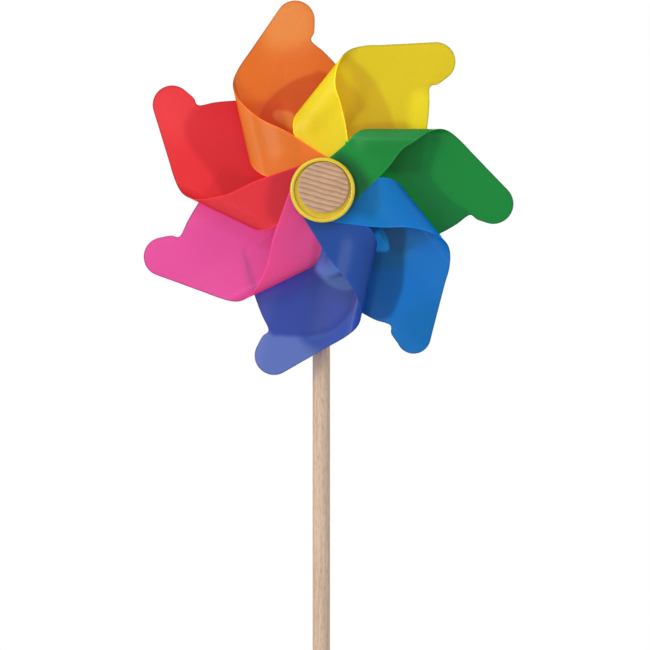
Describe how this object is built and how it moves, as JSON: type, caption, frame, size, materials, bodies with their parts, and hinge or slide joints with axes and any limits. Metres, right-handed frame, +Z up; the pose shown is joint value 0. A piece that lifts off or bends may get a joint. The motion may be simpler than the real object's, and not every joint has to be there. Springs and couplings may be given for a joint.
{
  "type": "pinwheel",
  "caption": "Hand-held pinwheel: curled translucent film blades in rainbow colours on a capped hub that spins on a round wooden stick.",
  "frame": {"origin": "centre of the stick's foot", "axes": "+Z up the stick, +X along the green blade; the wheel's axle lies along Y and the wheel faces -Y"},
  "size_m": [0.2531, 0.0625, 0.6155],
  "materials": {
    "beech": "sanded, unvarnished",
    "cover_wood": "sanded smooth, end stripes of the grain",
    "steel": "zinc plated",
    "brass": "turned",
    "hub_plastic": "glossy yellow",
    "film_green": "frosted translucent film",
    "film_yellow": "frosted translucent film",
    "film_orange": "frosted translucent film",
    "film_red": "frosted translucent film",
    "film_pink": "frosted translucent film",
    "film_purple": "frosted translucent film",
    "film_blue": "frosted translucent film"
  },
  "bodies": {
    "handle": {"stick": "beech", "axle_bolt": "steel", "dome_nut": "steel", "nut_washer": "steel", "spacer_bead": "beech", "rear_thrust_washer": "steel", "front_thrust_washer": "steel"},
    "wheel": {"rear_bush": "brass", "front_bush": "brass", "hub_barrel": "hub_plastic", "rear_flange": "hub_plastic", "front_cap": "hub_plastic", "wood_disc": "cover_wood", "blade_green": "film_green", "blade_yellow": "film_yellow", "blade_orange": "film_orange", "blade_red": "film_red", "blade_pink": "film_pink", "blade_purple": "film_purple", "blade_blue": "film_blue"}
  },
  "joints": [
    {"name": "wheel_spin", "type": "hinge", "parent": "handle", "child": "wheel", "pos_m": [0, 0, 0.486], "axis": [0, -1, 0], "continuous": true}
  ]
}
